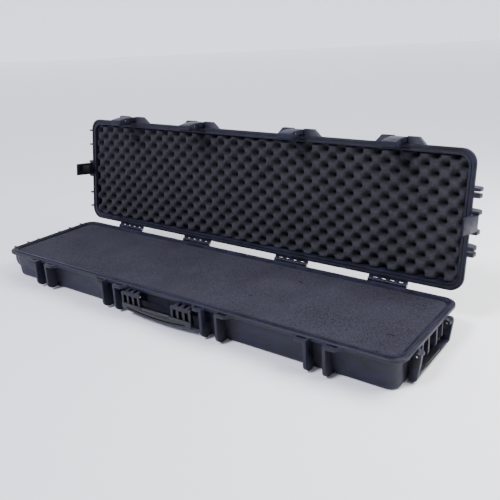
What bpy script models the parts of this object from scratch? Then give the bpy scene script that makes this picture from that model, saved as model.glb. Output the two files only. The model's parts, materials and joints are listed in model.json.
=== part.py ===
"""A long hard equipment case with its lid open: the construction model.

Metres, +Z up. X runs along the case, the front faces -Y and the hinges are at the back.
The origin is the middle of the base's underside. Every piece that the lid carries is laid
out with the lid shut, and then turns with the empty on the hinge axis.
"""

import math

import bmesh
import bpy
from mathutils import Matrix, Vector

# ---------------------------------------------------------------- driving sizes
RIM_LENGTH = 1.340  # over the rim flanges, left to right
RIM_WIDTH = 0.350  # over the rim flanges, front to back
RIM_CORNER = 0.036  # plan radius of the flange corners
BASE_HEIGHT = 0.086  # underside to rim plane
LID_DEPTH = 0.062  # lid rim plane to lid top
LID_OPEN = math.radians(97.65)  # how far the lid is turned back from shut

WALL = 0.004  # moulded wall
FLANGE = 0.010  # thickness of a rim flange
OVERHANG = 0.013  # flange edge to wall face, under the flange
DRAFT = 0.006  # how much further in a wall is at its far edge
BASE_EDGE = 0.010  # rounding along the underside
LID_EDGE = 0.014  # rounding along the lid top
SEAM = 0.0006  # between the shut rims
GAP = 0.0003  # between touching pieces
RUN = 0.0008  # running clearance beside a moving piece
SINK = 0.0015  # how far a moulded-on feature runs into the wall it joins

TONGUE_INSET = 0.0075  # rim edge to the seal tongue
TONGUE_WIDTH = 0.0030
TONGUE_HEIGHT = 0.0030
GROOVE_SIDE = 0.0010  # groove wall to tongue, each side
GASKET_THICK = 0.0022

HINGE_PLACES = (-0.476, -0.178, 0.178, 0.476)  # middles, along the back
HINGE_WIDTH = 0.108
HINGE_KNUCKLES = 9
HINGE_OUT = 0.0115  # rim edge to hinge axis
KNUCKLE_RADIUS = 0.0058
HINGE_PIN_RADIUS = 0.0021

LATCH_PLACES = (-0.476, -0.178, 0.178, 0.476)  # middles, along the front
LATCH_WIDTH = 0.039
LATCH_PIVOT = (0.0085, 0.0140)  # out from the rim edge, up from the rim plane
LATCH_EYE = 0.0066
LATCH_PIN_RADIUS = 0.0020
LEVER_FACE = 0.0165  # outer face at the eye, out from the rim edge
LEVER_THIN = 0.0040  # how far the face has come in at the hook's pin
LEVER_TIP = 0.0680  # rim plane down to the lever's tip
LEVER_IN = 0.0100  # how far in the lower half of a front lever reaches
END_LEVER_IN = -0.0010  # an end lever stays outside the rim, as it comes down past it
LEVER_SKIN = 0.0037  # lever wall over its pocket
HOOK_PIVOT = (0.0050, -0.0400)
HOOK_EYE = 0.0042
HOOK_REACH = 0.0085  # how far the toe goes in under the base flange
HOOK_WIDTH = 0.027

GUARD_FIN = 0.008  # thickness of a latch guard's fin
GUARD_PROUD = 0.018  # fins and brackets, out from the rim edge
GUARD_FOOT = 0.004  # a fin's foot, above the underside
RAIL_CLEAR = 0.006  # the right end's fins and ribs stop this far above its rail
LEFT_BAY = 0.040  # middle of the left end to its fins: that lever comes in at a slant
FLUSH = -0.0008  # the right end's fins and ribs stop just inside the rim edge
END_RIB = 0.060  # middle of the right end to a rib behind its handle
END_RIB_THICK = 0.006
GUARD_ROUND = 0.018  # rounding of a fin's lower front corner
BRACKET_FACE = 0.0285  # width of a bracket's outer face
BRACKET_FOOT = 0.0455  # and of its foot on the rim edge
BRACKET_DEEP = 0.030  # a lid bracket, up from the rim plane
BRIDGE_LOW = 0.0225  # the wall that joins two lid brackets above the lever's eye
BRIDGE_OUT = 0.0100
SLOT_LONG = 0.026
SLOT_WIDE = 0.006
SLOT_DEEP = 0.006

RIB_PROUD = 0.015  # end ribs, out from the rim edge
LEFT_RIBS = (-0.135, -0.086, 0.086, 0.135)
RIGHT_RIBS = (-0.080, -0.064, 0.064, 0.080)
LEFT_RIB_THICK = 0.005
RIGHT_RIB_THICK = 0.0075

HANDLE_OUT = 0.0135  # front handle's axis, out from the rim edge
HANDLE_DROP = 0.0178  # and down from the rim plane
HANDLE_EYE = 0.0060
HANDLE_PIN_RADIUS = 0.0021
HANDLE_BARS = (0.0595, 0.0795, 0.0995, 0.1195)  # middles, each side
BAR_WIDTH = 0.0070
BAR_THICK = 0.0090
HANDLE_LUGS = (0.0695, 0.0895, 0.1095)
LUG_WIDTH = 0.0114
RAIL_HALF = 0.1230  # half length of the front rail
RAIL_TOP = 0.0440  # down from the rim plane
RAIL_FOOT = 0.0610  # at its ends
RAIL_SAG = 0.0103
RAIL_DEEP = 0.0130
GRIP_HALF = 0.050
GRIP_HIGH = 0.0090
FRONT_OPENS = 95
LINE_UP = 0.0060  # groove above the rail's lower edge
LINE_WIDE = 0.0036
LINE_DEEP = 0.0030

END_OUT = 0.0025  # end handle's axis, out from the rim edge
END_DROP = 0.0200
END_EYE = 0.0090
ARM_NEAR = 0.091  # inner and outer faces of an arm, from the middle of the end
ARM_FAR = 0.103
END_LUG = 0.0125  # width of the lug beside each arm
END_FOOT = 0.0800  # rim plane down to the rail's foot
END_TOP = 0.0690  # and to its top
END_LEAN = 0.0080  # how much further in the rail is than the eye
END_DEEP = 0.0190  # rail front to back
END_GRIP_HALF = 0.046
END_GRIP_HIGH = 0.0040
FIT = 0.0003  # clearance round a grip

FOAM_GAP = 0.0010  # foam to the walls
BASE_FOAM_DROP = 0.0025  # foam face below the base rim
LID_FOAM_DROP = 0.0030  # foam peaks below the lid rim

CORNER_STEPS = 6
ROUND_SIDES = 20
BORE_SIDES = 14

FRONT_TURN = math.pi
RIGHT_TURN = -math.pi / 2
LEFT_TURN = math.pi / 2

# ---------------------------------------------------------------- worked-out places
HALF_LENGTH = RIM_LENGTH / 2
HALF_WIDTH = RIM_WIDTH / 2
LID_RIM = BASE_HEIGHT + SEAM
LID_TOP = LID_RIM + LID_DEPTH
HINGE_AXIS = Vector((0, HALF_WIDTH + HINGE_OUT, BASE_HEIGHT + SEAM / 2))
LATCH_GAP = LATCH_WIDTH / 2 + RUN
SHORT_FOOT = BASE_HEIGHT - END_TOP + RAIL_CLEAR
LATCH_BORE = LATCH_GAP + GUARD_FIN + 0.001
LATCH_PIN = LATCH_GAP + GUARD_FIN - 0.0004
FRONT_AXIS = (HANDLE_OUT, -HANDLE_DROP)
END_AXIS = (END_OUT, -END_DROP)
FRONT_PIN = (HANDLE_BARS[0] - BAR_WIDTH / 2 - 0.0012, HANDLE_BARS[-1] + BAR_WIDTH / 2 - 0.0004)
END_PIN = (ARM_NEAR - RUN - END_LUG - 0.0006, ARM_FAR - 0.0004)
GASKET_LOW = BASE_HEIGHT + TONGUE_HEIGHT + GAP
GROOVE_TOP = GASKET_LOW + GASKET_THICK + GAP


# ---------------------------------------------------------------- small helpers
def clear_scene():
    for old in list(bpy.data.objects):
        bpy.data.objects.remove(old)


def material(name, color, roughness, metallic=0.0):
    made = bpy.data.materials.new(name)
    made.use_nodes = True
    shader = made.node_tree.nodes["Principled BSDF"]
    shader.inputs["Base Color"].default_value = (*color, 1)
    shader.inputs["Roughness"].default_value = roughness
    shader.inputs["Metallic"].default_value = metallic
    return made


def shade(mesh):
    mesh.shade_smooth()
    mesh.set_sharp_from_angle(angle=math.radians(35))


def mesh_object(name, bm, finish=None):
    """A new object from a bmesh, closed and facing out, round faces smooth."""
    bmesh.ops.recalc_face_normals(bm, faces=bm.faces)
    mesh = bpy.data.meshes.new(name)
    bm.to_mesh(mesh)
    bm.free()
    if finish:
        mesh.materials.append(finish)
    shade(mesh)
    made = bpy.data.objects.new(name, mesh)
    bpy.context.scene.collection.objects.link(made)
    return made


def arc(centre, radius, start, end, steps):
    """Points on a circle from one angle to another, in degrees."""
    angles = [math.radians(start + (end - start) * i / steps) for i in range(steps + 1)]
    return [(centre[0] + radius * math.cos(a), centre[1] + radius * math.sin(a)) for a in angles]


def circle(centre, radius, sides):
    return arc(centre, radius, 0, 360 * (sides - 1) / sides, sides - 1)


PUSH = {"X": lambda a, b, d: (d, a, b), "Y": lambda a, b, d: (a, d, b),
        "Z": lambda a, b, d: (a, b, d)}


def prism(name, outline, start, end, axis="X", finish=None):
    """An outline in the plane across an axis, pushed from start to end along it."""
    place = PUSH[axis]
    bm = bmesh.new()
    near = [bm.verts.new(place(a, b, start)) for a, b in outline]
    far = [bm.verts.new(place(a, b, end)) for a, b in outline]
    bm.faces.new(near)
    bm.faces.new(far)
    for i in range(len(near)):
        j = (i + 1) % len(near)
        bm.faces.new((near[i], near[j], far[j], far[i]))
    return mesh_object(name, bm, finish)


def box(name, x, y, z):
    """A block between the two ends of each range."""
    corners = [(x[0], y[0]), (x[1], y[0]), (x[1], y[1]), (x[0], y[1])]
    return prism(name, corners, z[0], z[1], "Z")


def rod(name, radius, start, end, centre=(0, 0), sides=ROUND_SIDES, finish=None):
    """A round bar along X with its ends chamfered a little."""
    edge = min(0.0004, radius / 4)
    inner = circle(centre, radius - edge, sides)
    outer = circle(centre, radius, sides)
    loops = [[(start, *p) for p in inner], [(start + edge, *p) for p in outer],
             [(end - edge, *p) for p in outer], [(end, *p) for p in inner]]
    return loft(name, loops, finish)


def loft(name, loops, finish=None, ring=False):
    """A skin through loops of equal length: capped at both ends, or joined into a ring."""
    bm = bmesh.new()
    rows = [[bm.verts.new(point) for point in loop] for loop in loops]
    count = len(rows[0])
    for low, high in zip(rows, rows[1:] + (rows[:1] if ring else [])):
        for i in range(count):
            j = (i + 1) % count
            bm.faces.new((low[i], low[j], high[j], high[i]))
    if not ring:
        bm.faces.new(rows[0])
        bm.faces.new(rows[-1])
    return mesh_object(name, bm, finish)


def boolean(target, others, operation):
    """Joins others to target, or cuts them from it, one at a time, and removes them."""
    for other in others:
        step = target.modifiers.new(operation.lower(), "BOOLEAN")
        step.operation = operation
        step.object = other
        step.solver = "EXACT"
        graph = bpy.context.evaluated_depsgraph_get()
        made = bpy.data.meshes.new_from_object(target.evaluated_get(graph))
        target.modifiers.clear()
        target.data = made
        bpy.data.objects.remove(other)
    shade(target.data)
    return target


def moved(made, matrix):
    made.data.transform(matrix)
    return made


def empty(name, matrix):
    made = bpy.data.objects.new(name, None)
    made.empty_display_size = 0.03
    made.matrix_basis = matrix
    bpy.context.scene.collection.objects.link(made)
    return made


def copy_of(source, name):
    made = source.copy()
    made.name = name
    bpy.context.scene.collection.objects.link(made)
    return made


def site(place, turn):
    """A frame on the rim edge: X along the wall, Y outwards, Z up from the rim plane."""
    return Matrix.Translation(place) @ Matrix.Rotation(turn, 4, "Z")


def along(out, up):
    """A step in a site frame, out from the rim edge and up from the rim plane."""
    return Matrix.Translation((0, out, up))


def front_site(place, level):
    return site((place, -HALF_WIDTH, level), FRONT_TURN)


def left_site(level):
    return site((-HALF_LENGTH, 0, level), LEFT_TURN)


def right_site(level):
    return site((HALF_LENGTH, 0, level), RIGHT_TURN)


def latch_sites(level):
    fronts = {f"front_{i}": front_site(x, level) for i, x in enumerate(LATCH_PLACES, 1)}
    return {**fronts, "left": left_site(level), "right": right_site(level)}


# ---------------------------------------------------------------- the two shells
def plan_loop(inset, level):
    """The rim's rounded rectangle, brought in by inset, at one level."""
    radius = RIM_CORNER - 0.55 * inset
    points = []
    for corner in range(4):
        side_x = 1 if corner in (0, 3) else -1
        side_y = 1 if corner < 2 else -1
        centre = (side_x * (HALF_LENGTH - inset - radius), side_y * (HALF_WIDTH - inset - radius))
        turn = arc(centre, radius, 90 * corner, 90 * corner + 90, CORNER_STEPS)
        points += [(x, y, level) for x, y in turn]
    return points


def base_wall(level):
    """How far in from the rim edge the base's wall face is, at one level."""
    return OVERHANG + DRAFT * (BASE_HEIGHT - FLANGE - level) / (BASE_HEIGHT - FLANGE)


def lid_wall(level):
    """The same for the lid, level measured with the lid shut."""
    return OVERHANG + DRAFT * (level - LID_RIM - FLANGE) / (LID_DEPTH - FLANGE)


def base_shell(finish):
    inner = OVERHANG + WALL
    underside = [plan_loop(base_wall(BASE_EDGE) + BASE_EDGE - out, BASE_EDGE - down)
                 for out, down in arc((0, 0), BASE_EDGE, 90, 0, 4)]
    loops = underside + [
        plan_loop(OVERHANG, BASE_HEIGHT - FLANGE),
        plan_loop(0.0015, BASE_HEIGHT - FLANGE),
        plan_loop(0, BASE_HEIGHT - FLANGE + 0.0015),
        plan_loop(0, BASE_HEIGHT - 0.0012),
        plan_loop(0.0012, BASE_HEIGHT),
        plan_loop(TONGUE_INSET, BASE_HEIGHT),
        plan_loop(TONGUE_INSET + 0.0006, BASE_HEIGHT + TONGUE_HEIGHT),
        plan_loop(TONGUE_INSET + TONGUE_WIDTH - 0.0006, BASE_HEIGHT + TONGUE_HEIGHT),
        plan_loop(TONGUE_INSET + TONGUE_WIDTH, BASE_HEIGHT),
        plan_loop(inner, BASE_HEIGHT),
        plan_loop(base_wall(WALL) + WALL, WALL),
    ]
    shell = loft("base_shell", loops, finish)
    back = site((0, HALF_WIDTH, BASE_HEIGHT), 0)
    joined = [moved(piece, back) for piece in knuckles(-1)]
    for name, frame in latch_sites(BASE_HEIGHT).items():
        foot = SHORT_FOOT if name == "right" else GUARD_FOOT
        near = LEFT_BAY if name == "left" else LATCH_GAP
        proud = FLUSH if name == "right" else GUARD_PROUD - 0.0004
        joined += [moved(piece, frame) for piece in guard_fins(foot, near, proud)]
    for place in LATCH_PLACES:
        frame = front_site(place, BASE_HEIGHT)
        joined += [moved(piece, frame) for piece in brackets(-FLANGE + 0.0007, -0.0013)]
    middle = front_site(0, BASE_HEIGHT)
    end = right_site(BASE_HEIGHT)
    joined += [moved(piece, middle) for piece in front_lugs()]
    joined += [moved(piece, end) for piece in end_lugs() + end_ribs()]
    joined += [moved(base_rib(place), left_site(BASE_HEIGHT)) for place in LEFT_RIBS]
    boolean(shell, joined, "UNION")
    cut = [moved(hinge_bore(place, SEAM / 2), back) for place in HINGE_PLACES]
    for place in LATCH_PLACES:
        cut += [moved(piece, front_site(place, BASE_HEIGHT)) for piece in bracket_slots()]
    cut += [moved(piece, middle) for piece in handle_bores(FRONT_AXIS, FRONT_PIN)]
    cut += [moved(piece, end) for piece in handle_bores(END_AXIS, END_PIN)]
    return boolean(shell, cut, "DIFFERENCE")


def lid_shell(finish):
    ceiling = LID_TOP - WALL
    inner = OVERHANG + WALL
    top_edge = [plan_loop(lid_wall(LID_TOP - LID_EDGE) + LID_EDGE - out, LID_TOP - LID_EDGE + up)
                for out, up in arc((0, 0), LID_EDGE, 0, 90, 4)]
    loops = [
        plan_loop(lid_wall(ceiling) + WALL + 0.004, ceiling),
        plan_loop(lid_wall(ceiling - 0.006) + WALL, ceiling - 0.006),
        plan_loop(inner, LID_RIM),
        plan_loop(0.0012, LID_RIM),
        plan_loop(0, LID_RIM + 0.0012),
        plan_loop(0, LID_RIM + FLANGE - 0.0015),
        plan_loop(0.0015, LID_RIM + FLANGE),
        plan_loop(OVERHANG, LID_RIM + FLANGE),
    ] + top_edge
    shell = loft("lid_shell", loops, finish)
    back = site((0, HALF_WIDTH, LID_RIM), 0)
    joined = [moved(piece, back) for piece in knuckles(1)]
    for place in LATCH_PLACES:
        frame = front_site(place, LID_RIM)
        joined += [moved(piece, frame) for piece in brackets(0.0013, BRACKET_DEEP, LID_EDGE)]
        joined.append(moved(bridge(), frame))
    for frame, places, thick in ((left_site(LID_RIM), LEFT_RIBS, LEFT_RIB_THICK),
                                 (right_site(LID_RIM), RIGHT_RIBS, RIGHT_RIB_THICK)):
        for place in places:
            joined.append(moved(lid_rib(place - thick / 2, place + thick / 2, RIB_PROUD), frame))
        for near, far in ((-LATCH_GAP - GUARD_FIN, -LATCH_GAP), (LATCH_GAP, LATCH_GAP + GUARD_FIN)):
            joined.append(moved(lid_rib(near, far, GUARD_PROUD), frame))
    boolean(shell, joined, "UNION")
    cut = [moved(hinge_bore(place, -SEAM / 2), back) for place in HINGE_PLACES]
    for frame in latch_sites(LID_RIM).values():
        bore = rod("bore", LATCH_PIN_RADIUS + GAP, -LATCH_BORE, LATCH_BORE, LATCH_PIVOT, BORE_SIDES)
        cut.append(moved(bore, frame))
    cut.append(seal_ring("groove", -GROOVE_SIDE, LID_RIM - 0.001, GROOVE_TOP))
    return boolean(shell, cut, "DIFFERENCE")


def seal_ring(name, side, low, high, finish=None):
    """A ring over the tongue: side is how much narrower it is than the tongue, each side."""
    outer = TONGUE_INSET + side
    inner = TONGUE_INSET + TONGUE_WIDTH - side
    loops = [plan_loop(outer, low), plan_loop(inner, low),
             plan_loop(inner, high), plan_loop(outer, high)]
    return loft(name, loops, finish, ring=True)


def lid_rib(start, end, proud):
    """An upright fin on a lid's end, rounded down to the lid top."""
    bend = 0.028
    outline = [(-OVERHANG - SINK, 0.0013), (proud, 0.0013)]
    outline += arc((proud - bend, 0.024), bend, 0, 62, 5)
    outline += [(-OVERHANG - DRAFT - 0.0025, LID_DEPTH - 0.006)]
    return prism("rib", outline, start, end)


def base_rib(place):
    """An upright fin on the base's left end, rounded at its lower front corner."""
    half = LEFT_RIB_THICK / 2
    low = 0.020 - BASE_HEIGHT
    outline = [(-OVERHANG - SINK, -0.0015), (RIB_PROUD, -0.0015)]
    outline += arc((RIB_PROUD - 0.022, low + 0.022), 0.022, 0, -80, 5)
    outline += [(-base_wall(BASE_EDGE) - SINK, BASE_EDGE + 0.002 - BASE_HEIGHT)]
    return prism("rib", outline, place - half, place + half)


def guard_fins(level, near, proud):
    """The two upright fins that shield a latch on the base."""
    foot = level - BASE_HEIGHT
    outline = [(-OVERHANG - SINK, -0.0045), (proud, -0.0045)]
    outline += arc((proud - GUARD_ROUND, foot + GUARD_ROUND), GUARD_ROUND, 0, -90, 6)
    outline += [(-base_wall(level) - 0.003, foot)]
    return [prism("fin", outline, -near - GUARD_FIN, -near),
            prism("fin", outline, near, near + GUARD_FIN)]


def brackets(low, high, taper=0):
    """The two blocks with sloped flanks beside a latch, on the rim edge."""
    pieces = []
    for side in (-1, 1):
        near = LATCH_GAP
        plan = [(near, -OVERHANG - SINK), (near, GUARD_PROUD), (near + BRACKET_FACE, GUARD_PROUD),
                (near + BRACKET_FOOT, -0.001), (near + BRACKET_FOOT, -OVERHANG - SINK)]
        rows = [[(side * x, y, low) for x, y in plan]]
        if taper:
            rows.append([(side * x, y, high - taper) for x, y in plan])
            plan = [(x - (0.004 if x > near + 0.001 else 0), y - (0.006 if y > 0 else 0))
                    for x, y in plan]
        rows.append([(side * x, y, high) for x, y in plan])
        pieces.append(loft("bracket", rows))
    return pieces


def bridge():
    outline = [(-OVERHANG - SINK, BRIDGE_LOW), (BRIDGE_OUT, BRIDGE_LOW)]
    outline += [(BRIDGE_OUT, BRACKET_DEEP - 0.002), (BRIDGE_OUT - 0.004, BRACKET_DEEP)]
    outline += [(-OVERHANG - SINK, BRACKET_DEEP)]
    return prism("bridge", outline, -LATCH_GAP - 0.001, LATCH_GAP + 0.001)


def bracket_slots():
    start = LATCH_GAP + 0.004
    out = (0.004, 0.004 + SLOT_WIDE)
    return [box("slot", (start, start + SLOT_LONG), out, (-SLOT_DEEP, 0.001)),
            box("slot", (-start - SLOT_LONG, -start), out, (-SLOT_DEEP, 0.001))]


# ---------------------------------------------------------------- hinges
def knuckles(side):
    """Every second knuckle of each hinge, on webs: side is 1 for the lid, -1 for the base."""
    centre = (HINGE_OUT, -side * SEAM / 2)
    turn = arc(centre, KNUCKLE_RADIUS, 180 - side * 16, 180 + side * 240, 11)
    outline = [(-0.003, side * 0.0013)] + turn
    outline += [(0.004, side * (FLANGE - 0.0006)), (-0.003, side * (FLANGE - 0.0006))]
    pitch = HINGE_WIDTH / HINGE_KNUCKLES
    pieces = []
    for place in HINGE_PLACES:
        for index in range(0 if side == 1 else 1, HINGE_KNUCKLES, 2):
            start = place - HINGE_WIDTH / 2 + index * pitch
            pieces.append(prism("knuckle", outline, start + RUN / 2, start + pitch - RUN / 2))
        near, far = side * 0.0015, side * (FLANGE - 0.0009)
        edge = HINGE_OUT - KNUCKLE_RADIUS - RUN
        shelf = [(-0.003, near), (edge, near), (edge, far), (-0.003, far)]
        half = HINGE_WIDTH / 2 - RUN / 2 - 0.0002
        pieces.append(prism("shelf", shelf, place - half, place + half))
    return pieces


def hinge_bore(place, up):
    half = HINGE_WIDTH / 2 + 0.002
    reach = (place - half, place + half)
    return rod("bore", HINGE_PIN_RADIUS + GAP, *reach, (HINGE_OUT, up), BORE_SIDES)


# ---------------------------------------------------------------- latches
def latch_lever(inward, finish):
    """The lever, in its site frame, closed: eye at the top, pocket open towards the case."""
    tip = -LEVER_TIP
    outline = arc(LATCH_PIVOT, LATCH_EYE, 180, 0, 8)
    low = LEVER_FACE - LEVER_THIN
    outline += [(LEVER_FACE, 0), (LEVER_FACE - 0.0005, -0.012), (low, -0.042)]
    outline += [(low - 0.0060, tip + 0.0020), (low - 0.0080, tip)]
    outline += [(0.0025 - inward, tip + 0.001), (-inward, tip + 0.0035)]
    outline += [(-inward, -0.030), (LATCH_PIVOT[0] - LATCH_EYE, -0.016)]
    lever = prism("lever", outline, -LATCH_WIDTH / 2, LATCH_WIDTH / 2, "X", finish)
    wall = LEVER_FACE - LEVER_SKIN
    deep = low - 0.0030
    pocket = [(-0.03, -0.006), (wall, -0.006), (deep, -0.042), (deep - 0.001, -0.050), (-0.03, -0.050)]
    half = HOOK_WIDTH / 2 + 0.0005
    long = LATCH_WIDTH / 2 + 0.002
    cuts = [prism("pocket", pocket, -half, half),
            rod("bore", LATCH_PIN_RADIUS + GAP, -long, long, LATCH_PIVOT, BORE_SIDES),
            rod("bore", LATCH_PIN_RADIUS + GAP, -long, long, HOOK_PIVOT, BORE_SIDES)]
    return boolean(lever, cuts, "DIFFERENCE")


def latch_hook(finish):
    """The catch inside the lever: its toe's top follows an arc about its own pin."""
    across, down = HOOK_PIVOT
    reach = -FLANGE - 0.0005 - down
    start = 90 + math.degrees(math.asin((HOOK_REACH + across) / reach))
    outline = arc(HOOK_PIVOT, reach, start, 98, 6)
    outline += arc(HOOK_PIVOT, HOOK_EYE, 10, -190, 12)
    outline += [(-HOOK_REACH, -FLANGE - 0.0125)]
    hook = prism("hook", outline, -HOOK_WIDTH / 2, HOOK_WIDTH / 2, "X", finish)
    long = LATCH_WIDTH / 2
    bore = rod("bore", LATCH_PIN_RADIUS + GAP, -long, long, HOOK_PIVOT, BORE_SIDES)
    return boolean(hook, [bore], "DIFFERENCE")


# ---------------------------------------------------------------- handles
def both_sides(middles, width):
    """Start and end of each bar or lug, on both sides of the middle."""
    spans = [(middle - width / 2, middle + width / 2) for middle in middles]
    return spans + [(-end, -start) for start, end in spans]


def gusset(axis, eye):
    """The side outline of a lug: a round eye on a web from the wall and the flange."""
    outline = [(-OVERHANG - SINK, -FLANGE + 0.001), (-0.002, -FLANGE + 0.001)]
    outline += arc(axis, eye, 80, -75, 9)
    return outline + [(-base_wall(BASE_HEIGHT - 0.045) - SINK, -0.045)]


def front_lugs():
    outline = gusset(FRONT_AXIS, HANDLE_EYE)
    return [prism("lug", outline, *span) for span in both_sides(HANDLE_LUGS, LUG_WIDTH)]


def end_lugs():
    outline = gusset(END_AXIS, END_EYE - 0.001)
    middle = ARM_NEAR - RUN - END_LUG / 2
    return [prism("lug", outline, *span) for span in both_sides((middle,), END_LUG)]


def end_ribs():
    """Two ribs between the latch fins and the lugs, stopping inside the rim edge."""
    foot = SHORT_FOOT - BASE_HEIGHT
    outline = [(-OVERHANG - SINK, -FLANGE + 0.001), (FLUSH, -FLANGE + 0.001), (FLUSH, -0.045)]
    outline += [(-base_wall(SHORT_FOOT) - SINK, foot)]
    return [prism("rib", outline, *span) for span in both_sides((END_RIB,), END_RIB_THICK)]


def handle_bores(axis, pin):
    size = HANDLE_PIN_RADIUS + GAP
    start, end = pin[0] - 0.002, pin[1] + 0.002
    return [rod("bore", size, start, end, axis, BORE_SIDES),
            rod("bore", size, -end, -start, axis, BORE_SIDES)]


def rail_edge(up):
    """Points along the front rail's sagging lower edge, raised by up."""
    steps = [RAIL_HALF * (i / 6 - 1) for i in range(13)]
    return [(x, up - RAIL_FOOT - RAIL_SAG * (1 - (x / RAIL_HALF) ** 2)) for x in steps]


def front_handle(finish):
    """Comb bars on a sagging grip rail, in a site frame, hanging straight down."""
    front, behind = HANDLE_OUT + RAIL_DEEP / 2, HANDLE_OUT - RAIL_DEEP / 2
    corners = [(RAIL_HALF, -RAIL_TOP), (-RAIL_HALF, -RAIL_TOP)]
    rail = prism("front_handle_frame", corners + rail_edge(0), behind, front, "Y", finish)
    thick = BAR_THICK / 2
    profile = arc(FRONT_AXIS, HANDLE_EYE, 180, 0, 8)
    profile += [(HANDLE_OUT + thick, -HANDLE_DROP - 0.006), (HANDLE_OUT + thick, -RAIL_TOP - 0.002)]
    profile += [(HANDLE_OUT - thick, -RAIL_TOP - 0.002), (HANDLE_OUT - thick, -HANDLE_DROP - 0.006)]
    bars = [prism("bar", profile, *span) for span in both_sides(HANDLE_BARS, BAR_WIDTH)]
    boolean(rail, bars, "UNION")
    notch = box("notch", (-GRIP_HALF, GRIP_HALF), (behind - 0.002, front + 0.002),
                (-RAIL_TOP - GRIP_HIGH, 0.002 - RAIL_TOP))
    low, high = rail_edge(LINE_UP)[1:-1], rail_edge(LINE_UP + LINE_WIDE)[1:-1]
    line = prism("line", high[::-1] + low, front - LINE_DEEP, front + 0.002, "Y")
    return boolean(rail, [notch, line] + handle_bores(FRONT_AXIS, FRONT_PIN), "DIFFERENCE")


def front_grip(finish):
    """The soft grip that fills the front rail's notch."""
    front = HANDLE_OUT + RAIL_DEEP / 2 - 0.0004
    behind = HANDLE_OUT - RAIL_DEEP / 2 + 0.0004
    low = -RAIL_TOP - GRIP_HIGH + FIT
    soft = 0.0015
    outline = [(behind, low), (front, low), (front, -RAIL_TOP - soft), (front - soft, -RAIL_TOP)]
    outline += [(behind + soft, -RAIL_TOP), (behind, -RAIL_TOP - soft)]
    return prism("front_handle_grip", outline, -GRIP_HALF + FIT, GRIP_HALF - FIT, "X", finish)


def end_rail(top, front, behind):
    """The end rail's section between its top and its rounded foot."""
    slope = 0.0007
    return [(front, -top), (front - slope, -END_FOOT + 0.003), (front - 0.0035, -END_FOOT),
            (behind + 0.0035, -END_FOOT), (behind, -END_FOOT + 0.004), (behind + slope, -top)]


def end_handle(finish):
    """Two deep arms and a rail that follows the slope of the wall."""
    front = END_OUT + END_EYE - END_LEAN
    behind = front - END_DEEP
    rail = prism("end_handle_frame", end_rail(END_TOP, front, behind), 0.001 - ARM_FAR,
                 ARM_FAR - 0.001, "X", finish)
    profile = arc(END_AXIS, END_EYE, 180, 0, 10)
    profile += [(END_OUT + END_EYE, -END_DROP - 0.004), (front + 0.0012, -END_FOOT + 0.007)]
    profile += arc((front - 0.0068, -END_FOOT + 0.0072), 0.008, 0, -90, 4)
    profile += [(behind + 0.003, -END_FOOT - 0.0008), (behind - 0.0006, -END_FOOT + 0.005)]
    profile += [(behind + 0.002, -0.050)]
    arms = [prism("arm", profile, ARM_NEAR, ARM_FAR), prism("arm", profile, -ARM_FAR, -ARM_NEAR)]
    boolean(rail, arms, "UNION")
    notch = box("notch", (-END_GRIP_HALF, END_GRIP_HALF), (behind - 0.002, front + 0.002),
                (-END_TOP - END_GRIP_HIGH, 0.002 - END_TOP))
    return boolean(rail, [notch] + handle_bores(END_AXIS, END_PIN), "DIFFERENCE")


def end_grip(finish):
    """The soft grip that fills the end rail's notch."""
    front = END_OUT + END_EYE - END_LEAN - 0.0012
    behind = front - END_DEEP + 0.0022
    low = -END_TOP - END_GRIP_HIGH + FIT
    soft = 0.0012
    outline = [(behind, low), (front, low), (front, -END_TOP - soft), (front - soft, -END_TOP)]
    outline += [(behind + soft, -END_TOP), (behind, -END_TOP - soft)]
    reach = END_GRIP_HALF - FIT
    return prism("end_handle_grip", outline, -reach, reach, "X", finish)


# ---------------------------------------------------------------- assembly
def attach(made, parent, shut_to_parent):
    """Parents a piece laid out shut and closed; the parent's frame is where it was then."""
    made.parent = parent
    made.matrix_parent_inverse = Matrix.Identity(4)
    made.matrix_basis = shut_to_parent


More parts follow.
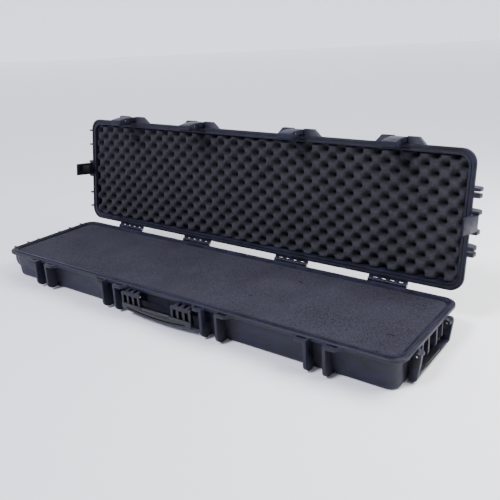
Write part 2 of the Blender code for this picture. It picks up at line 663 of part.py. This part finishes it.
def build():
    clear_scene()
    shell_plastic = material("shell_plastic", (0.035, 0.036, 0.05), 0.42)
    black_plastic = material("black_plastic", (0.012, 0.012, 0.014), 0.5)
    pin_steel = material("pin_steel", (0.62, 0.62, 0.63), 0.3, 1.0)
    seal_rubber = material("seal_rubber", (0.01, 0.01, 0.01), 0.7)
    foam = material("foam", (0.03, 0.03, 0.036), 0.95)

    base_shell(shell_plastic)
    lid = lid_shell(shell_plastic)

    gasket = seal_ring("lid_gasket", GAP - GROOVE_SIDE, GASKET_LOW,
                       GASKET_LOW + GASKET_THICK, seal_rubber)

    floor = WALL + GAP
    base_top = BASE_HEIGHT - BASE_FOAM_DROP
    loft("base_foam", [
        plan_loop(base_wall(floor) + WALL + FOAM_GAP, floor),
        plan_loop(OVERHANG + WALL + FOAM_GAP, base_top - 0.002),
        plan_loop(OVERHANG + WALL + FOAM_GAP + 0.002, base_top)], foam)
    ceiling = LID_TOP - WALL - GAP
    face = LID_RIM + LID_FOAM_DROP
    lid_foam = loft("lid_foam", [
        plan_loop(OVERHANG + WALL + FOAM_GAP + 0.004, face),
        plan_loop(OVERHANG + WALL + FOAM_GAP + 0.0008, face + 0.004),
        plan_loop(lid_wall(ceiling - 0.006) + WALL + FOAM_GAP, ceiling - 0.006),
        plan_loop(lid_wall(ceiling) + WALL + FOAM_GAP + 0.004, ceiling)], foam)

    lid_at = Matrix.Translation(HINGE_AXIS)
    lid_turn = empty("lid_hinge_axis", lid_at @ Matrix.Rotation(-LID_OPEN, 4, "X"))
    for piece in (lid, gasket, lid_foam):
        attach(piece, lid_turn, lid_at.inverted())

    for number, place in enumerate(HINGE_PLACES, 1):
        half = HINGE_WIDTH / 2 - 0.0005
        pin = rod(f"hinge_pin_{number}", HINGE_PIN_RADIUS, -half, half, (0, 0), 16, pin_steel)
        pin.location = (place, *HINGE_AXIS.yz)

    levers = {"front": latch_lever(LEVER_IN, shell_plastic),
              "end": latch_lever(END_LEVER_IN, shell_plastic)}
    hook = latch_hook(black_plastic)
    pivot = along(*LATCH_PIVOT)
    hook_at = along(*HOOK_PIVOT)
    for lever in levers.values():
        moved(lever, pivot.inverted())
    moved(hook, hook_at.inverted())
    pivot_pin = rod("pivot_pin", LATCH_PIN_RADIUS, -LATCH_PIN, LATCH_PIN, (0, 0), 16, pin_steel)
    hook_half = LATCH_WIDTH / 2 - 0.0005
    hook_pin = rod("hook_pin", LATCH_PIN_RADIUS, -hook_half, hook_half, (0, 0), 16, pin_steel)
    for name, frame in latch_sites(LID_RIM).items():
        source = levers["front" if name.startswith("front") else "end"]
        swing = copy_of(source, f"latch_lever_{name}")
        attach(swing, lid_turn, lid_at.inverted() @ frame @ pivot)
        catch = copy_of(hook, f"latch_hook_{name}")
        attach(catch, swing, pivot.inverted() @ hook_at)
        attach(copy_of(hook_pin, f"hook_pin_{name}"), swing, pivot.inverted() @ hook_at)
        attach(copy_of(pivot_pin, f"latch_pin_{name}"), lid_turn, lid_at.inverted() @ frame @ pivot)
    for source in (*levers.values(), hook, pivot_pin, hook_pin):
        bpy.data.objects.remove(source)

    for name, axis, reach, frame, rail, grip in (
            ("front", FRONT_AXIS, FRONT_PIN, front_site(0, BASE_HEIGHT),
             front_handle(shell_plastic), front_grip(black_plastic)),
            ("end", END_AXIS, END_PIN, right_site(BASE_HEIGHT),
             end_handle(shell_plastic), end_grip(black_plastic))):
        turn = along(*axis)
        moved(rail, turn.inverted())
        moved(grip, turn.inverted())
        rail.matrix_basis = frame @ turn
        attach(grip, rail, Matrix.Identity(4))
        for side, span in (("left", reach), ("right", (-reach[1], -reach[0]))):
            pin = rod(f"{name}_handle_pin_{side}", HANDLE_PIN_RADIUS, *span, (0, 0), 16, pin_steel)
            pin.matrix_basis = frame @ turn


build()
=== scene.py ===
# %% [markdown]
# # A long hard equipment case
#
# The case stands open on its base: a shallow moulded tray with a flat foam slab, and a lid
# of the same plastic, lined with peaked foam, turned back on four hinges. Six draw latches
# hang on the lid, and two handles fold against the base.
#
# The construction is already modelled to size. This script gives every piece its looks. It
# loads the construction as a fixed frame, and each new piece rides on one of its bodies.

# %% Load the construction
import json
import math

import bpy
import numpy as np
from mathutils import Matrix, Vector


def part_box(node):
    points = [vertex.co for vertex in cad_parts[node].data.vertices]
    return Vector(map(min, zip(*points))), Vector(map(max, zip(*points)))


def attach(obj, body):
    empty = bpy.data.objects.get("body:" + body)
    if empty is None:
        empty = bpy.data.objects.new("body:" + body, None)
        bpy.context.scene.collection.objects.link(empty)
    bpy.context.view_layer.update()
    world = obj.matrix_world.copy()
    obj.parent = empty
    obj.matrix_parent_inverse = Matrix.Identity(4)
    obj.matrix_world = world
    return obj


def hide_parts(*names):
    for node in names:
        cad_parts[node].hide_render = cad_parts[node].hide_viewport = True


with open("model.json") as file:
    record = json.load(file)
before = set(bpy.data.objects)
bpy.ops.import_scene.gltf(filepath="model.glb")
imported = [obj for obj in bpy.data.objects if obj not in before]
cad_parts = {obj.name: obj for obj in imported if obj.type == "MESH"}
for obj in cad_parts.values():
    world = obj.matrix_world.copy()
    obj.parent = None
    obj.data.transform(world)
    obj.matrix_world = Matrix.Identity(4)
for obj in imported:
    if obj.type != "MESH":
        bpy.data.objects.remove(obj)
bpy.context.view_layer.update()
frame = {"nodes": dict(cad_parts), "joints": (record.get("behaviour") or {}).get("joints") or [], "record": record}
nodes = frame["nodes"]

# %% [markdown]
# ## Where things are
#
# The record says where each joint turns and how far, so the lid's hinge axis and its angle
# come from there. With them, a place on the lid can be worked out as if the lid were shut,
# which is how a maker would draw it, and then turned back with the lid.

# %% Joints and the turn of the lid
joints = {joint["name"]: joint for joint in frame["joints"]}
hinge = joints["lid_hinge"]
lid_angle = math.radians(hinge["range_deg"][1])
hinge_axis = Vector(hinge["pos_m"])
lid_turn = (Matrix.Translation(hinge_axis) @ Matrix.Rotation(-lid_angle, 4, "X")
            @ Matrix.Translation(-hinge_axis))
print("lid turned back", round(math.degrees(lid_angle), 2), "degrees")

# %% [markdown]
# ## Camera
#
# A case this long looks right from the front right, a little above, with a normal lens. The
# camera is placed by its eye point and the direction it looks in, then rolled a little. The
# small vertical shift keeps the case in the middle of a square frame.

# %% Camera
eye = Vector((1.0913, -1.2291, 0.7507))
looking = Vector((-0.5659, 0.7600, -0.3195))
lens_mm = 45.1
roll = math.radians(-2.67)
frame_shift = -0.0376

bpy.ops.object.camera_add(location=eye)
camera = bpy.context.object
camera.name = "camera"
camera.data.lens = lens_mm
camera.data.sensor_width = 36
camera.data.shift_y = frame_shift
camera.data.clip_end = 50
aim = looking.to_track_quat("-Z", "Y").to_matrix().to_4x4()
camera.matrix_world = Matrix.Translation(eye) @ aim @ Matrix.Rotation(roll, 4, "Z")
bpy.context.scene.camera = camera
print("camera", [round(v, 3) for v in camera.location])

# %% [markdown]
# ## Finishes
#
# Everything here is dark: blue-black polypropylene, black nylon, charcoal foam. What tells
# them apart is how they take light, so each finish gets its own roughness and grain. Colours
# are the usual sRGB hex values, turned to the linear values that Blender's sockets take.

# %% Colour and node helpers
def linear(hex_colour):
    """The linear RGBA of an sRGB hex colour such as "#2c2c3a"."""
    parts = [int(hex_colour[i:i + 2], 16) / 255 for i in (1, 3, 5)]
    curve = [c / 12.92 if c <= 0.04045 else ((c + 0.055) / 1.055) ** 2.4 for c in parts]
    return (*curve, 1.0)


def add_node(tree, kind, settings=(), inputs=(), links=()):
    """A node with its settings and socket values, and links from other nodes' outputs."""
    node = tree.nodes.new(kind)
    for name, value in dict(settings).items():
        setattr(node, name, value)
    for name, value in dict(inputs).items():
        node.inputs[name].default_value = value
    for name, (source, output) in dict(links).items():
        tree.links.new(source.outputs[output], node.inputs[name])
    return node


def new_finish(name, **values):
    """A Principled material with constant values on its own sockets."""
    finish = bpy.data.materials.new(name)
    finish.use_nodes = True
    shader = finish.node_tree.nodes["Principled BSDF"]
    for socket, value in values.items():
        shader.inputs[socket.replace("_", " ")].default_value = value
    return finish, finish.node_tree, shader


print("a mid grey, linear:", round(linear("#808080")[0], 4))


# %% [markdown]
# ### Moulded polypropylene
#
# The shells, levers and handles are injection-moulded polypropylene. The mould's surface is
# spark-eroded, which leaves an even, pebbly grain of well under a millimetre. It is drawn
# here at about 1.4 mm so that it shows at this distance. Handling polishes some areas and
# leaves a dry bloom on others, so the roughness and colour drift together in soft patches of
# a few centimetres, stretched along the case as the plastic flowed. One function makes the
# three plastics, because they differ only in tone and polish: the shells are duller, the
# carry handle is smoothed by hands, and the nylon of catches and grips is the blackest.

# %% Polypropylene
grain_mm = 1.4
patch_mm = 26.0


def add_grain(tree, shader, size_mm, strength, depth_mm, coords):
    """An even pebbled bump on a shader, of that size in millimetres."""
    pebble = add_node(tree, "ShaderNodeTexVoronoi", {"feature": "SMOOTH_F1"},
                      {"Scale": 1000 / size_mm, "Smoothness": 0.6},
                      {"Vector": (coords, "Object")})
    bump = add_node(tree, "ShaderNodeBump", (), {"Strength": strength,
                    "Distance": depth_mm / 1000}, {"Height": (pebble, "Distance")})
    tree.links.new(bump.outputs["Normal"], shader.inputs["Normal"])
    return bump


def moulded_plastic(name, dark, pale, gloss, dull, shine):
    finish, tree, shader = new_finish(name, IOR=1.49, Specular_IOR_Level=shine)
    coords = add_node(tree, "ShaderNodeTexCoord")
    stretch = add_node(tree, "ShaderNodeMapping", (), {"Scale": (0.55, 1.0, 1.0)},
                       {"Vector": (coords, "Object")})
    patches = add_node(tree, "ShaderNodeTexNoise", (),
                       {"Scale": 1000 / patch_mm, "Detail": 7.0, "Roughness": 0.68,
                        "Distortion": 0.9}, {"Vector": (stretch, "Vector")})
    colour = add_node(tree, "ShaderNodeValToRGB", (), (), {"Fac": (patches, "Fac")})
    colour.color_ramp.elements[0].position = 0.34
    colour.color_ramp.elements[0].color = linear(dark)
    colour.color_ramp.elements[1].position = 0.72
    colour.color_ramp.elements[1].color = linear(pale)
    rough = add_node(tree, "ShaderNodeMapRange", (), {"From Min": 0.35, "From Max": 0.70,
                     "To Min": gloss, "To Max": dull}, {"Value": (patches, "Fac")})
    tree.links.new(colour.outputs["Color"], shader.inputs["Base Color"])
    tree.links.new(rough.outputs["Result"], shader.inputs["Roughness"])
    add_grain(tree, shader, grain_mm, 0.35, 0.25, coords)
    return finish


# Polypropylene, injection-moulded with a spark-eroded grain: dull, blue-black and cloudy.
polypropylene = moulded_plastic("polypropylene_shell", "#07070c", "#202034", 0.38, 0.68, 0.26)
# The same plastic where hands have rubbed it: darker, with a tighter highlight.
handle_plastic = moulded_plastic("polypropylene_handle", "#07070c", "#12121c", 0.30, 0.48, 0.30)
# Glass-filled nylon, moulded: nearly neutral black, with a soft sheen on its edges.
nylon = moulded_plastic("black_nylon", "#0b0b0f", "#14151c", 0.34, 0.52, 0.35)
print("plastic grain", grain_mm, "mm, patches", patch_mm, "mm")

# %% [markdown]
# ### Ground steel and seal rubber
#
# The hinge and handle pins are ground stainless rod: bright, with fine marks round the rod.
# The seal is a soft EPDM cord, black and dull with a faint bloom.

# %% Steel and rubber
mark_mm = 0.625
rubber_grain_mm = 0.9

# Stainless steel, ground: bright, and its fine marks break up each highlight.
steel, steel_tree, steel_shader = new_finish(
    "ground_steel", Metallic=1.0, Base_Color=linear("#b9babd"), Roughness=0.28)
steel_coords = add_node(steel_tree, "ShaderNodeTexCoord")
marks = add_node(steel_tree, "ShaderNodeTexNoise", (), {"Scale": 1000 / mark_mm,
                 "Detail": 3.0}, {"Vector": (steel_coords, "Object")})
mark_range = add_node(steel_tree, "ShaderNodeMapRange", (), {"To Min": 0.2, "To Max": 0.42},
                      {"Value": (marks, "Fac")})
steel_tree.links.new(mark_range.outputs["Result"], steel_shader.inputs["Roughness"])

# EPDM rubber, extruded: black and matt, with only a broad faint highlight.
rubber, rubber_tree, rubber_shader = new_finish(
    "epdm_rubber", Base_Color=linear("#151517"), Roughness=0.72, IOR=1.52)
add_grain(rubber_tree, rubber_shader, rubber_grain_mm, 0.25, 0.1,
          add_node(rubber_tree, "ShaderNodeTexCoord"))
print("steel marks", mark_mm, "mm, rubber grain", rubber_grain_mm, "mm")

# %% [markdown]
# ### Polyurethane foam
#
# Both linings are charcoal open-cell polyurethane. Cut foam shows its open cells as fine dark
# specks among pale cell walls, about a millimetre across; they are drawn at 2.2 mm. The cut
# surface has no gloss at all, and the thin cell walls catch a little light at grazing angles,
# which a touch of sheen gives.
#
# Fingernails have left three short bent cuts in the flat slab. A cut is too shallow to need
# its own shape, so the shade inside it is painted on as part of a thin ring: dark where a
# point is both at the ring's radius and near the middle of the cut.

# %% Foam
cell_mm = 2.2
cut_half_width = 0.0018


def painted_cut_shade(tree, coords, shade, place, bend, half_mm):
    """Paints the shade inside a short bent cut: a thin dark ring of radius bend, seen only near its place."""
    middle = (place[0] + bend[0], place[1] + bend[1], place[2])
    radius = math.hypot(*bend)
    from_middle = add_node(tree, "ShaderNodeVectorMath", {"operation": "DISTANCE"}, {1: middle},
                           {0: (coords, "Object")})
    from_place = add_node(tree, "ShaderNodeVectorMath", {"operation": "DISTANCE"}, {1: place},
                          {0: (coords, "Object")})
    on_ring = add_node(tree, "ShaderNodeMath", {"operation": "COMPARE"},
                       {1: radius, 2: cut_half_width}, {0: (from_middle, "Value")})
    near = add_node(tree, "ShaderNodeMath", {"operation": "LESS_THAN"},
                    {1: half_mm / 1000}, {0: (from_place, "Value")})
    mask = add_node(tree, "ShaderNodeMath", {"operation": "MULTIPLY"}, {},
                    {0: (on_ring, "Value"), 1: (near, "Value")})
    # painted shade: the slit of each cut is drawn as a near-black line in the foam's colour
    mixed = add_node(tree, "ShaderNodeMixRGB", (), {"Color2": linear("#060608")},
                     {"Fac": (mask, "Value"), "Color1": (shade, "Color")})
    return mixed


def open_cell_foam(name, cell_dark, cell_pale, depth_mm, nicks=()):
    """Matt foam with dark cells in pale walls, and painted shade in a few cuts where nicks are given."""
    finish, tree, shader = new_finish(name, Roughness=1.0, Specular_IOR_Level=0.04,
                                      Sheen_Weight=0.04, Sheen_Roughness=0.5)
    coords = add_node(tree, "ShaderNodeTexCoord")
    cells = add_node(tree, "ShaderNodeTexNoise", (), {"Scale": 1000 / cell_mm, "Detail": 4.0,
                     "Roughness": 0.7}, {"Vector": (coords, "Object")})
    drift = add_node(tree, "ShaderNodeTexNoise", (), {"Scale": 9.0, "Detail": 2.0},
                     {"Vector": (coords, "Object")})
    both = add_node(tree, "ShaderNodeMath", {"operation": "MULTIPLY_ADD"}, {1: 0.16},
                    {0: (drift, "Fac"), 2: (cells, "Fac")})
    colour = add_node(tree, "ShaderNodeValToRGB", (), (), {"Fac": (both, "Value")})
    colour.color_ramp.elements[0].position = 0.44
    colour.color_ramp.elements[0].color = linear(cell_dark)
    colour.color_ramp.elements[1].position = 0.72
    colour.color_ramp.elements[1].color = linear(cell_pale)
    shade = colour
    for nick in nicks:
        shade = painted_cut_shade(tree, coords, shade, *nick)
    tree.links.new(shade.outputs["Color"], shader.inputs["Base Color"])
    bump = add_node(tree, "ShaderNodeBump", (), {"Strength": 0.6,
                    "Distance": depth_mm / 1000}, {"Height": (cells, "Fac")})
    tree.links.new(bump.outputs["Normal"], shader.inputs["Normal"])
    return finish


# %% [markdown]
# The flat slab has a crisp, speckled face. The peaked sheet was cut by a blade between
# rollers and its skin is a little smoother and more even, so its two tones are closer.

# %% The two foams
slab_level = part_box("base_foam")[1][2] - 0.001
# each cut's slit is not modelled; its shade is painted on as a dark line
# place of each cut, where the middle of its ring lies from there, and half its length in mm
cuts = (((0.598, -0.069, slab_level), (0.004, -0.014), 9.5),
        ((0.211, -0.055, slab_level), (-0.003, -0.010), 6.5),
        ((0.278, 0.080, slab_level), (0.020, 0.050), 11.0))
# Polyurethane foam, open-celled and sawn flat: a matt, speckled blue-grey.
flat_foam = open_cell_foam("polyurethane_foam_flat", "#100f14", "#393843", 1.2, cuts)
# The same foam, cut in peaks: matt and nearly neutral, darker because its pits hold shade.
peak_foam = open_cell_foam("polyurethane_foam_peaked", "#242426", "#3b3a3f", 1.0)
print("foam cells drawn at", cell_mm, "mm,", len(cuts), "cuts")

# %% [markdown]
# ## Shells
#
# Moulded parts have no knife edges: plastic shrinks away from sharp corners, so each edge has
# a radius of about a millimetre, and that is what draws the fine light line along a rim. The
# construction has plain edges. A copy of each piece is merged into one skin and its edges are
# rounded with a bevel, and the copy takes the piece's place. A bevel was chosen over sculpted
# edges because it keeps every wall and bore where the construction has it.

# %% Pick and apply helpers
def deselect():
    if bpy.context.object and bpy.context.object.mode != "OBJECT":
        bpy.ops.object.mode_set(mode="OBJECT")
    bpy.ops.object.select_all(action="DESELECT")


def make_active(piece):
    deselect()
    piece.select_set(True)
    bpy.context.view_layer.objects.active = piece


def apply_modifiers(piece):
    make_active(piece)
    for step in list(piece.modifiers):
        bpy.ops.object.modifier_apply(modifier=step.name)


print("helpers ready, Blender in", bpy.context.mode, "mode")

# %% Dress a piece and round its edges
weld_gap = 0.00002
flat_within = math.radians(0.6)
bevel_over = math.radians(28)
smooth_under = math.radians(32)


def dress(piece, body, finish):
    """Gives a finished piece its material and the body it rides on."""
    piece.data.materials.clear()
    piece.data.materials.append(finish)
    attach(piece, body)
    return piece


def rounded_copy(node, name, edge_mm, segments=2):
    """A copy of a construction piece, merged into one skin, with its edges rounded."""
    piece = bpy.data.objects.new(name, nodes[node].data.copy())
    bpy.context.scene.collection.objects.link(piece)
    make_active(piece)
    bpy.ops.object.mode_set(mode="EDIT")
    bpy.ops.mesh.select_all(action="SELECT")
    bpy.ops.mesh.remove_doubles(threshold=weld_gap)
    bpy.ops.mesh.dissolve_limited(angle_limit=flat_within)
    bpy.ops.object.mode_set(mode="OBJECT")
    soften = piece.modifiers.new("edges", "BEVEL")
    soften.width = edge_mm / 1000
    soften.segments = segments
    soften.limit_method = "ANGLE"
    soften.angle_limit = bevel_over
    soften.miter_outer = "MITER_ARC"
    apply_modifiers(piece)
    bpy.ops.object.shade_smooth_by_angle(angle=smooth_under)
    return piece


print("edges over", round(math.degrees(bevel_over)), "degrees are rounded")

# %% The two shells
base = dress(rounded_copy("base_shell", "base_shell_moulding", 0.9), "base",
             polypropylene)
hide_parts("base_shell")
lid = dress(rounded_copy("lid_shell", "lid_shell_moulding", 0.9), "lid",
            polypropylene)
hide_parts("lid_shell")
print("base faces", len(base.data.polygons), "lid faces", len(lid.data.polygons))

# %% [markdown]
# The latch levers and handle frames are moulded in the shells' plastic, and the catches and
# the grips that slip over the handles in nylon. They are rounded in the same way, with a
# smaller radius where the piece is thin. The steel pins and the rubber seal are round or
# hidden already, so they keep their own shape and only take a finish.

# %% Levers, catches and handles
body_of_node = {node: body for body, held in frame["record"]["behaviour"]["bodies"].items()
                for node in held}
for name in list(nodes):
    if name.startswith("latch_lever") or name.endswith("handle_frame"):
        piece = rounded_copy(name, name + "_moulding", 0.8)
        finish = handle_plastic if name.startswith("front") else polypropylene
        dress(piece, body_of_node[name], finish)
        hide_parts(name)
    elif name.startswith("latch_hook") or name.endswith("handle_grip"):
        piece = rounded_copy(name, name + "_moulding", 0.5)
        dress(piece, body_of_node[name], nylon)
        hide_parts(name)
    elif "pin" in name:
        nodes[name].data.materials.clear()
        nodes[name].data.materials.append(steel)
nodes["lid_gasket"].data.materials.clear()
nodes["lid_gasket"].data.materials.append(rubber)
print("latches", sum(name.startswith("latch_lever") for name in nodes),
      "pins", sum("pin" in name for name in nodes))

# %% [markdown]
# ## Foam linings
#
# Peaked foam is made by squeezing a flat slab between two studded rollers while a blade
# slices it, so its face is a regular field of domes and pits, each row half a step off the
# last. The studs stand in two sets of slanting rows, about 35 mm apart. Each set is one plane
# wave, and a dome stands where the crests of both meet. This sheet was cut two degrees off
# square, so the sets are not quite mirror images.
#
# Each lining is drawn from a fine flat grid, because a grid takes a height at every point.
# Its sides are then extruded ring by ring to the outline that the walls leave for it.

# %% Outline of a foam block
def rings_of(node, turn):
    """Half length, half width and level of each ring of points round a foam slab."""
    held = nodes[node].data
    points = np.array([(turn @ vertex.co)[:] for vertex in held.vertices])
    levels = np.unique(np.round(points[:, 2], 4))
    return [(np.abs(ring[:, 0]).max(), np.abs(ring[:, 1]).max(), level) for level in levels
            for ring in (points[np.abs(points[:, 2] - level) < 2e-4],)]


for lining in ("base_foam", "lid_foam"):
    print(lining, "has", len(nodes[lining].data.vertices), "points round its outline")

# %% A grid with rounded corners
def shut_grid(name, half_x, half_y, step, corner):
    """A flat grid with rounded corners, and its points as an array."""
    deselect()
    bpy.ops.mesh.primitive_grid_add(x_subdivisions=round(2 * half_x / step),
                                    y_subdivisions=round(2 * half_y / step), size=2)
    grid = bpy.context.object
    grid.name = name
    points = np.empty(len(grid.data.vertices) * 3)
    grid.data.vertices.foreach_get("co", points)
    points = points.reshape(-1, 3) * (half_x, half_y, 0)
    inner = np.array([half_x - corner, half_y - corner])
    out = np.clip(np.abs(points[:, :2]) - inner, 0, None)
    long = np.hypot(out[:, 0], out[:, 1])
    scale = np.where(long > 0, out.max(axis=1) / np.maximum(long, 1e-9), 1)
    points[:, :2] = np.sign(points[:, :2]) * (np.minimum(np.abs(points[:, :2]), inner)
                                              + out * scale[:, None])
    return grid, points


print("the grid's corners follow the tray's")

# %% The sides of a slab
def close_slab(grid, points, rings):
    """Gives a shaped face its sides, ring by ring, and the flat far side."""
    grid.data.vertices.foreach_set("co", points.ravel())
    make_active(grid)
    bpy.ops.object.mode_set(mode="EDIT")
    bpy.ops.mesh.select_all(action="DESELECT")
    bpy.ops.mesh.select_mode(type="EDGE")
    bpy.ops.mesh.select_non_manifold()
    before = (np.abs(points[:, 0]).max(), np.abs(points[:, 1]).max())
    for half_x, half_y, level in rings:
        bpy.ops.mesh.extrude_region_move()
        bpy.ops.transform.resize(value=(half_x / before[0], half_y / before[1], 0),
                                 center_override=(0, 0, level))
        before = (half_x, half_y)
    bpy.ops.mesh.edge_face_add()
    bpy.ops.mesh.select_all(action="SELECT")
    bpy.ops.mesh.normals_make_consistent(inside=False)
    bpy.ops.object.mode_set(mode="OBJECT")


print("a slab's sides are extruded, then capped")

# %% [markdown]
# The domes are fuller than a plain wave, because the squeezed foam springs back: the power
# on the pits' depth makes them narrow and the tops broad. The sheet is shaped in the shut
# lid's plane, then turned back with the lid, and its edge sinks where the lid presses it.

# %% Peaked lid foam
row_waves = ((20.2, 20.5, -0.956), (18.9, -22.5, -2.172))  # rows per metre in X and Y, phase
dome_height = 0.034
dome_fullness = 2.3
lid_grid = 0.003
lid_corner = 0.018
edge_sink = 0.005
edge_width = 0.008
soft_under = math.radians(60)  # foam has no hard edges, so nearly all of it is smooth
foam_rings = rings_of("lid_foam", lid_turn.inverted())
(_, _, foam_face), (foam_x, foam_y, _) = foam_rings[:2]
lid_foam, places = shut_grid("lid_foam_peaked", foam_x, foam_y, lid_grid, lid_corner)
wave = sum(0.5 * np.cos(2 * np.pi * (places[:, 0] * in_x + places[:, 1] * in_y) - phase)
           for in_x, in_y, phase in row_waves)
dome = 1 - (0.5 - 0.5 * wave) ** dome_fullness
edge = np.minimum(foam_x - np.abs(places[:, 0]), foam_y - np.abs(places[:, 1]))
rolled = edge_sink * np.clip(1 - edge / edge_width, 0, 1) ** 2
places[:, 2] = foam_face + dome_height * (1 - dome) + rolled
close_slab(lid_foam, places, foam_rings[2:])
lid_foam.data.transform(lid_turn)
make_active(lid_foam)
bpy.ops.object.shade_smooth_by_angle(angle=soft_under)
dress(lid_foam, "lid", peak_foam)
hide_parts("lid_foam")
print("lid foam points", len(lid_foam.data.vertices))

# %% [markdown]
# The base is filled with a flat slab, cut a little oversize and pressed in, so its top edge
# is rolled over slightly and its face is not quite flat.

# %% Flat base foam
slab_grid = 0.004
slab_corner = 0.024
pressed_in = 0.0008
sway_height = 0.0004
roll_height = 0.0025
roll_width = 0.010
slab_rings = rings_of("base_foam", Matrix.Identity(4))
_, _, slab_top = slab_rings[-1]
slab_x, slab_y, _ = slab_rings[-2]
slab, places = shut_grid("base_foam_slab", slab_x, slab_y, slab_grid, slab_corner)
edge = np.minimum(slab_x - np.abs(places[:, 0]), slab_y - np.abs(places[:, 1]))
roll_over = np.clip(1 - edge / roll_width, 0, 1) ** 2
sway = (np.sin(places[:, 0] * 9.1 + 1.3) * np.sin(places[:, 1] * 17.0 + 0.4)
        + 0.6 * np.sin(places[:, 0] * 21.0 + places[:, 1] * 13.0))
places[:, 2] = slab_top - pressed_in - sway_height * sway - roll_height * roll_over
close_slab(slab, places, slab_rings[-3::-1])
make_active(slab)
bpy.ops.object.shade_smooth_by_angle(angle=soft_under)
dress(slab, "base", flat_foam)
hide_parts("base_foam")
print("base slab", round(2 * slab_x, 4), "x", round(2 * slab_y, 4))

# %% [markdown]
# ## Studio
#
# The case stands on a sheet of pale paper. A second sheet far behind it gives a little light
# of its own, so that the ground stays pale up to the top of the frame. Both are part of the
# studio and not of the case.

# %% Floor and backdrop
floor_size = 40
backdrop_size = 60
backdrop_place = (-9.0, 12.0, 0)
backdrop_turn = math.radians(36.7)

deselect()
bpy.ops.mesh.primitive_plane_add(size=floor_size, location=(0, 0, 0))
floor = bpy.context.object
floor.name = "studio_floor"
# Paper, calendered: pale and matt, so it takes shadows softly.
paper, _, _ = new_finish("studio_paper", Base_Color=linear("#f4f4f5"), Roughness=0.9)
floor.data.materials.append(paper)

bpy.ops.mesh.primitive_plane_add(size=backdrop_size, location=backdrop_place)
backdrop = bpy.context.object
backdrop.name = "studio_backdrop"
backdrop.data.transform(Matrix.Rotation(backdrop_turn, 4, "Z")
                        @ Matrix.Rotation(math.radians(90), 4, "X"))
lit_paper, _, _ = new_finish("studio_lit_paper", Base_Color=linear("#f4f4f5"), Roughness=0.9,
                             Emission_Color=linear("#f4f6fb"), Emission_Strength=0.6)
backdrop.data.materials.append(lit_paper)
print("floor", floor_size, "m, backdrop", backdrop_size, "m")

# %% [markdown]
# Black plastic shows mostly what it reflects, so the light is broad and soft. The key comes
# from above the front and lights the foam's domes while it leaves their pits dark. A panel
# over the right end brightens the slab there, and a cool one at the front left gives the
# left of the front wall its bluer tone. The world fills the shadows.

# %% Lights
def softbox(name, place, target, width, height, watts):
    bpy.ops.object.light_add(type="AREA", location=place)
    light = bpy.context.object
    light.name = name
    light.data.shape = "RECTANGLE"
    light.data.size = width
    light.data.size_y = height
    light.data.energy = watts
    toward = Vector(target) - Vector(place)
    light.rotation_euler = toward.to_track_quat("-Z", "Y").to_euler()
    return light


key_direction = Vector((0.26, 0.62, -0.74))
key_strength = 3.7
key_softness = math.radians(16)
fill_strength = 0.44

softbox("top_panel", (1.3, 0.5, 1.5), (0.6, 0, 0), 1.4, 1.2, 64)
cool = softbox("front_panel", (-1.9, -2.0, 1.2), (-0.2, 0, 0.15), 1.8, 1.4, 26)
cool.data.color = linear("#b4c0ff")[:3]
deselect()
bpy.ops.object.light_add(type="SUN", location=(-2, -3, 3))
key = bpy.context.object
key.name = "key_light"
key.data.energy = key_strength
key.data.angle = key_softness
key.data.color = linear("#f1f3ff")[:3]
key.rotation_euler = key_direction.to_track_quat("-Z", "Y").to_euler()
world = bpy.data.worlds.new("studio")
world.use_nodes = True
fill = world.node_tree.nodes["Background"]
fill.inputs["Color"].default_value = linear("#e8edfb")
fill.inputs["Strength"].default_value = fill_strength
bpy.context.scene.world = world
